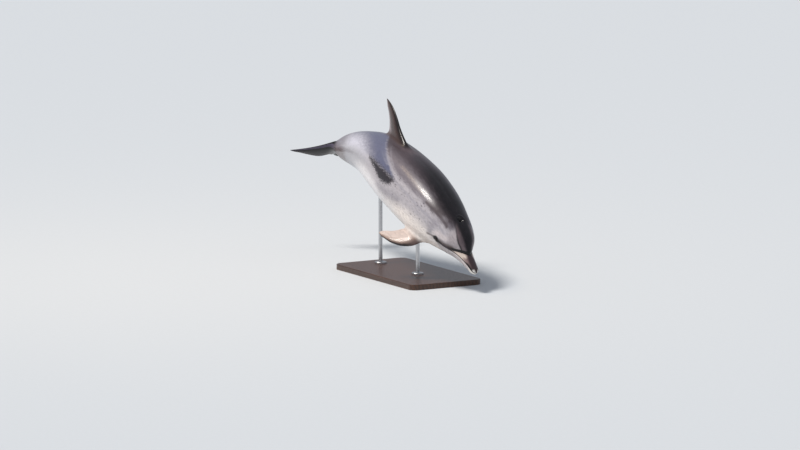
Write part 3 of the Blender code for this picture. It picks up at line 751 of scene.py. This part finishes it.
# The middle colour here is a painted sky reflection: the thin purple-grey band along the flukes' leading
# edge.
FLUKE_DARK, FLUKE_SKY_REFLECTION, FLUKE_WARM = (3, 2.5, 3), (33, 30.5, 37.5), (12, 8.5, 8.5)
LIGHT_STREAK, MOTTLE, BLACK = (86, 84, 86), (20, 17, 20), (0, 0, 0)
SPECKS = ((0.95, 0.38, 0.26, 0.52), (1.7, 0.35, 0.32, 0.46))  # how fine, how few, size, strength


def linear(colour):
    shares = np.array(colour) / 100
    return np.where(shares <= 0.04045, shares / 12.92, ((shares + 0.055) / 1.055)**2.4)


class Nodes:
    """Builds a node material in short steps. Most methods return an output socket."""

    def __init__(self, name, **inputs):
        self.material = bpy.data.materials.new(name)
        self.material.use_nodes = True
        self.tree = self.material.node_tree
        self.shader = self.tree.nodes["Principled BSDF"]
        self.found, self.ragged = {}, None
        for key, value in inputs.items():
            self.shader.inputs[key.replace("_", " ")].default_value = value

    def put(self, socket, value):
        if isinstance(value, bpy.types.NodeSocket):
            self.tree.links.new(value, socket)
        elif socket.type == "RGBA":
            socket.default_value = (*linear(value), 1)
        else:
            socket.default_value = value

    def finish(self, colour, roughness, normal=None):
        """Links the shader, and returns the material."""
        self.put(self.shader.inputs["Base Color"], colour)
        self.put(self.shader.inputs["Roughness"], roughness)
        if normal is not None:
            self.put(self.shader.inputs["Normal"], normal)
        return self.material

    def node(self, kind, inputs=(), **settings):
        made = self.tree.nodes.new("ShaderNode" + kind)
        for name, value in settings.items():
            setattr(made, name, value)
        for key, value in dict(inputs).items():
            self.put(made.inputs[key], value)
        return made

    def value(self, name):
        if name not in self.found:
            self.found[name] = self.node("Attribute", attribute_name=name).outputs["Fac"]
        return self.found[name]

    def math(self, operation, a, b=0):
        return self.node("Math", {0: a, 1: b}, operation=operation).outputs[0]

    def times(self, a, b):
        return self.math("MULTIPLY", a, b)

    def add(self, value, other, share=1):
        return self.math("ADD", value, self.times(other, share))

    def ramp(self, value, low, high):
        """A smooth rise from 0 at low to 1 at high. It falls where low is the larger."""
        ends = {"Value": value, "From Min": min(low, high), "From Max": max(low, high),
                "To Min": float(low > high), "To Max": float(low < high)}
        return self.node("MapRange", ends, interpolation_type="SMOOTHSTEP").outputs["Result"]

    def mix(self, share, a, b):
        return self.node("Mix", {"Factor": share, 6: a, 7: b}, data_type="RGBA").outputs[2]

    def mask(self, *parts):
        """The product of numbers, sockets and ramps. A ramp is (value, low, high, how ragged its edge is)."""
        out = None
        for part in parts:
            if isinstance(part, tuple):
                value, low, high, *wobble = part
                value = self.value(value) if isinstance(value, str) else value
                part = self.ramp(self.add(value, self.ragged, *wobble) if wobble else value, low, high)
            out = part if out is None else self.times(out, part)
        return out

    def layers(self, colour, *layers):
        """A colour with others laid over it. Each layer is a colour and its masks."""
        for over, *masks in layers:
            colour = self.mix(self.mask(*masks), colour, over)
        return colour

    def place(self, scale=(1, 1, 1)):
        where = self.node("TexCoord").outputs["Object"]
        return self.node("Mapping", {"Vector": where, "Scale": scale}).outputs[0]

    def along_body(self, along, across):
        """The place on the straightened body, with steps of its own along and across."""
        scales = (("s", along), ("side", across), ("height", across))
        steps = [self.times(self.value(name), scale) for name, scale in scales]
        return self.node("CombineXYZ", enumerate(steps)).outputs[0]

    def noise(self, scale, detail=3, where=None, roughness=0.5):
        """Noise from 0 to 1, in pieces about 1 / scale across."""
        inputs = {"Scale": scale, "Detail": detail, "Roughness": roughness, "Vector": where or self.place()}
        return self.node("TexNoise", inputs).outputs["Fac"]

    def around(self, value, amount=1):
        """A value from 0 to 1 turned into one from -amount to amount."""
        return self.times(self.math("SUBTRACT", value, 0.5), 2 * amount)

    def bump(self, height, depth, below=None):
        inputs = {"Strength": 1, "Distance": depth, "Height": height}
        return self.node("Bump", {**inputs, "Normal": below} if below else inputs).outputs[0]


def skin_material():
    n = Nodes("wet_skin", IOR=1.34, Coat_Weight=0.25, Coat_IOR=1.4, Coat_Roughness=0.1)
    flow = n.along_body(0.35, 1)
    n.ragged = n.around(n.noise(1.6, 4, flow, 0.6))
    stock = n.mask(("stock", -3.2, 3.2, 2.2), ("s", 46, 62))
    streaks = n.noise(1, 4, n.along_body(0.22, 3.4), 0.6)
    feather = n.around(n.noise(2.1, 4, n.along_body(0.6, 1.7)), 1.7)
    above_fringe = n.layers(FRINGE, (FRINGE_DARK, ("degrees", 46, 76, 6)),
                            (FRINGE_DARK, ("s", 14, 16), ("s", 25, 21)))
    cape = n.layers(CAPE, (CAPE_SOFT, (n.add(n.value("s"), n.value("degrees"), -0.3), 3, 20)),
                    (CAPE_REAR, ("s", 40, 51, 3)))
    colour = n.layers(
        FLANK, (SHADE, ("shade", 2.6, 0.2, 1), 0.8),
        (n.layers(STOCK, (STOCK_END, ("s", 76, 88, 1))), stock),
        # Painted sky reflection: a pale bluish sheen along the top of the tail stock.
        (STOCK_TOP_SKY_REFLECTION, stock, ("degrees", 2, 42), ("s", 85, 71)),
        (n.layers(BELLY, (BELLY_REAR, ("s", 30, 48))), ("belly", -2.4, 2.4, 1), ("s", 76, 63)),
        (LIGHT_STREAK, (streaks, 0.6, 0.74), 0.25),
        (above_fringe, ("fringe", -0.9, 0.9, 0.9), ("s", 10.5, 14)),
        (SADDLE, ("saddle", -0.7, 0.7, 0.4), ("stock", 4.2, -3.8, 1.5), ("degrees", 19, 29)),
        (BLAZE, ("blaze", 0.75, 0.05, 0.3), ("s", 33, 39), ("s", 53, 43), 0.42),
        (cape, ("cape", -2.1, 2.1, 1.5), ("s", 7, 9)),
        (PATCH, (n.add(n.value("patch"), feather), -1.1, 0.6), 0.97),
        (BROWN, ("s", 77, 85, 2), ("degrees", 16, -14), 0.6),
        (FLUKE_WARM, ("s", 89, 95, 1)))
    colour = fin_colours(n, specks(n, face_colour(n, colour)))
    mottle = (n.noise(2.2, 5, flow, 0.68), 0.38, 0.72)
    more_in_front = n.add(0.3, n.mask(("s", 52, 30)), 0.32)
    colour = n.layers(colour, (n.mix(0.45, colour, MOTTLE), mottle, more_in_front),
                      (BLACK, (n.around(n.noise(55, 4)), 0, 0.9), 0.1))
    dull = n.times(n.math("MAXIMUM", n.value("fluke"), n.value("flipper")), 0.22)
    roughness = n.add(n.add(0.25, dull), n.noise(9, 3), 0.14)
    film = n.bump(n.noise(14, 2), 0.0012)
    return n.finish(colour, roughness, n.bump(n.noise(260, 3), 0.0001, film))


def face_colour(n, colour):
    """The beak, the light face with its dark stripes, the crown, the eye's ring, and painted shade in the
    open blowhole.
    """
    s, degrees, mouth = n.value("s"), n.value("degrees"), n.value("mouth")
    beak = n.layers(
        BEAK_TOP, (BEAK_SIDE, (n.add(n.add(degrees, n.ragged, 5), s, -7), 34, 2)),
        (FIN_DARK, ("mouth", 0.75, 0.2), ("s", 4.4, 3.2)), (MUZZLE, ("muzzle", -0.7, 0.4, 0.14)),
        (n.layers(JAW, (BEAK_TIP, ("s", 2.6, 0.9))), ("mouth", -0.02, -0.12)),
        (BEAK_TIP, ("s", 1.25, 0.55), ("degrees", 75, 35)))
    return n.layers(
        colour, (n.layers(FACE, (FRINGE_DARK, ("degrees", 56, 63, 5))), ("s", 13.4, 10.8)),
        # Painted shade across the neck behind the eye, and the pale patch by the eye.
        (SHADE, ("neck", 1.9, 0.1, 1), 0.6), (FACE_PALE, ("eye_pale", 1.5, 0.2, 0.14), 0.8),
        (CROWN, (n.add(degrees, s, -3.6), 17, 20), ("s", 15.5, 12.5)),
        (CAPE, ("degrees", 60, 78, 5), ("s", 22, 15)),
        (DARK_STRIPE_AND_HOLLOW_SHADE, ("melon", 0.36, 0.08, 0.14), ("s", 14.2, 9.5), 0.8),
        (FRINGE_DARK, ("streak", 0.75, 0.1, 0.4), 0.8),
        # The bridle: from the crease under the melon back to the eye, with a soft brown upper side.
        (BRIDLE, ("crease", 1.7, 0.3, 0.14), ("degrees", 34, 14), ("s", 14.5, 13)),
        (beak, ("crease_side", 0.15, -0.15), ("s", 13.8, 12.6)),
        (n.layers(DARK_STRIPE_AND_HOLLOW_SHADE, (FRINGE_DARK, ("s", 9.2, 11), ("s", 13.4, 12))),
         ("crease", 0.46, 0.26, 0.14), ("s", 14.2, 13)),
        (DARK_STRIPE_AND_HOLLOW_SHADE, (n.math("ABSOLUTE", mouth), 0.17, 0.05), ("s", 12.6, 12.1)),
        (BRIDLE, ("eye_tail", 0.6, 0.1, 0.14), 0.65),
        # The eye's dark ring, then painted shade filling the hollow of the open blowhole.
        (DARK_STRIPE_AND_HOLLOW_SHADE, ("eye", 3.3, 1.7)), (DARK_STRIPE_AND_HOLLOW_SHADE, ("blowhole", 0.15, -0.25)))


def specks(n, colour):
    """Small dark specks on the light flank, the first of the spots that an adult is covered with."""
    where = n.mask(("s", 16, 21), ("s", 50, 38), ("degrees", 42, 35), ("degrees", -34, -4))
    for scale, least, size, strength in SPECKS:
        inputs = {"Scale": scale, "Vector": n.along_body(0.6, 1)}
        cells = n.node("TexVoronoi", inputs, feature="F1").outputs
        keep = n.node("SeparateColor", {0: cells["Color"]}).outputs[0]
        spot = n.math("SUBTRACT", n.times(n.ramp(keep, least, 1), size), cells["Distance"])
        colour = n.layers(colour, (PATCH, (spot, -0.04, 0.09), where, strength))
    return colour


def fin_colours(n, colour):
    """Fins are dark along the leading edge, but one face of each fluke has a painted sky reflection there, a
    thin purple-grey band. The flipper's faces are pale, and the flukes nearly black.
    """
    across = n.add(n.value("chord"), n.ragged, 0.04)
    inner = n.add(across, n.around(n.noise(7, 3)), 0.12)
    dorsal = n.layers(FIN_DARK, (FIN_WARM, (across, 0.03, 0.35)),
                      (FIN_PALE, (across, 0.7, 0.92), ("span", 0.02, 0.2)))
    flipper = n.layers(FLIPPER_DARK, (FLIPPER_WARM, (across, 0.03, 0.2)), (FLIPPER_PALE, (inner, 0.16, 0.5)),
                       (BROWN, ("chord", 0.34, 0.05), ("span", 0.34, 0.12)))
    # On one face, a painted sky reflection in purple-grey along the leading edge, then near black, warmer
    # towards the trailing edge; the other face near black.
    fluke = n.layers(FLUKE_SKY_REFLECTION, (FLUKE_DARK, (across, 0.03, 0.14)), (FLUKE_WARM, (across, 0.55, 0.95)),
                     (FLUKE_DARK, ("upper", -0.2, 0.2)))
    return n.layers(colour, (dorsal, ("dorsal", 0.25, 0.95)), (flipper, ("flipper", 0.3, 1)),
                    (fluke, ("fluke", 0, 0.8)))


def eye_material():
    n = Nodes("dark_eye", IOR=1.33)
    iris = n.mix(n.noise(420, 4), (17, 10, 6), (7, 4, 3))
    colour = n.layers(iris, ((5, 3.5, 3), ("gaze", 0.27, 0.31)),
                      ((1, 1, 1.2), ("gaze_across", 0.15, 0.12)))
    return n.finish(colour, 0.12)


def wood_material():
    n = Nodes("dark_walnut", Coat_Weight=0.25, Coat_Roughness=0.25)
    along = n.place((1.6, 16, 16))
    inputs = {"Scale": 0.9, "Distortion": 5.5, "Detail": 3, "Vector": along}
    rings = n.node("TexWave", inputs, wave_type="BANDS", bands_direction="Y").outputs["Fac"]
    pores = n.ramp(n.noise(9, 4, n.place((6, 130, 130))), 0.56, 0.7)
    colour = n.mix(rings, (22, 13, 8.5), (36, 22.5, 14.5))
    colour = n.layers(colour, ((27, 16.5, 11), n.noise(1.2, 3, along)), ((10, 6, 4), pores, 0.7))
    return n.finish(colour, n.add(0.34, pores, 0.25), n.bump(n.math("SUBTRACT", 1, pores), 0.0002))


def steel_material():
    n = Nodes("brushed_steel", Metallic=1)
    brushed = n.noise(60, 3, n.place((40, 40, 1.2)))
    colour = n.mix(brushed, (70, 71, 72), (82, 82, 83))
    return n.finish(colour, n.add(0.2, brushed, 0.16), n.bump(brushed, 0.00004))


# --- Stage: floor, light and camera.
CAMERA_AZIMUTH, CAMERA_ELEVATION = 60.3, 8.93  # degrees; 0 looks along +Y, 90 along -X
CAMERA_DISTANCE, SENSOR = 60, 36
VIEW_WIDTH = 4.327  # metres across the picture, at the dolphin
AIM_RIGHT, AIM_UP = -0.0653, -0.2056  # the picture's middle, from the spine's anchor
FLOOR_RADIUS = 60
SKY_COLOUR, SKY_STRENGTH = (0.84, 0.9, 1, 1), 0.42
# Each light: its kind, the way to it, how far it is, its strength and its colour.
LIGHTS = {"sun": ("SUN", (-0.06, -0.49, 0.87), 6, 2.85, (1, 0.965, 0.92)),
          "strip": ("AREA", (-0.27, -0.49, 0.87), 4, 26, (1, 0.76, 0.48))}
SUN_ANGLE, STRIP_SIZE = 15, (2.4, 0.55)  # degrees; metres


def make_camera():
    azimuth, elevation = np.radians(CAMERA_AZIMUTH), np.radians(CAMERA_ELEVATION)
    toward = Vector((np.sin(azimuth) * np.cos(elevation), -np.cos(azimuth) * np.cos(elevation),
                     np.sin(elevation)))
    right = Vector((np.cos(azimuth), np.sin(azimuth), 0))
    up = toward.cross(right)
    aim = Vector(ANCHOR_PLACE) + right * AIM_RIGHT + up * AIM_UP
    data = bpy.data.cameras.new("camera")
    data.lens = SENSOR * CAMERA_DISTANCE / VIEW_WIDTH
    data.sensor_width = SENSOR
    data.clip_end = 5 * CAMERA_DISTANCE
    made = add_object("camera", data)
    turn = Matrix((right, up, toward)).transposed().to_4x4()
    made.matrix_world = Matrix.Translation(aim + toward * CAMERA_DISTANCE) @ turn
    bpy.context.scene.camera = made


def make_floor():
    shape = bmesh.new()
    bmesh.ops.create_circle(shape, cap_ends=True, segments=96, radius=FLOOR_RADIUS)
    mesh = bpy.data.meshes.new("floor")
    shape.to_mesh(mesh)
    shape.free()
    n = Nodes("floor_paper", Specular_IOR_Level=0.1)
    mesh.materials.append(n.finish(n.mix(n.noise(40, 3), (80, 81.5, 83), (81.5, 83, 84.5)), 0.9))
    add_object("floor", mesh)


def add_light(name, kind, toward, distance, strength, colour):
    """A light that looks at the dolphin from the given side."""
    data = bpy.data.lights.new(name, kind)
    data.energy = strength
    data.color = colour
    made = add_object(name, data)
    toward = Vector(toward).normalized()
    made.location = Vector(ANCHOR_PLACE) + toward * distance
    made.rotation_euler = toward.to_track_quat("Z", "Y").to_euler()
    return data


def make_lights():
    world = bpy.data.worlds.new("studio")
    world.use_nodes = True
    sky = world.node_tree.nodes["Background"].inputs
    sky["Color"].default_value = SKY_COLOUR
    sky["Strength"].default_value = SKY_STRENGTH
    bpy.context.scene.world = world
    sun, strip = (add_light(name, *light) for name, light in LIGHTS.items())
    sun.angle = np.radians(SUN_ANGLE)
    strip.shape = "RECTANGLE"
    strip.size, strip.size_y = STRIP_SIZE


def main():
    skin = make_skin()
    skin.data.materials.append(skin_material())
    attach(skin, "root")
    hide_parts("beak", "lower_jaw", "head", "neck", "chest", "loin", "tail_stock", "dorsal_fin",
                "flipper_left", "flipper_right", "fluke_left", "fluke_right")
    eye = eye_material()
    for name, side in (("left", 1), ("right", -1)):
        eyeball = make_eyeball(side, "eyeball_" + name)
        eyeball.data.materials.append(eye)
        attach(eyeball, "root")
        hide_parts("eye_" + name)
    wood, steel = wood_material(), steel_material()
    for name in ("stand_base", "stand_rod_front", "stand_rod_rear", "stand_flange_front",
                 "stand_flange_rear"):
        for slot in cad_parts[name].material_slots:
            slot.material = wood if name == "stand_base" else steel
    make_floor()
    make_lights()
    make_camera()
    bpy.context.scene.view_settings.view_transform = "Standard"


main()
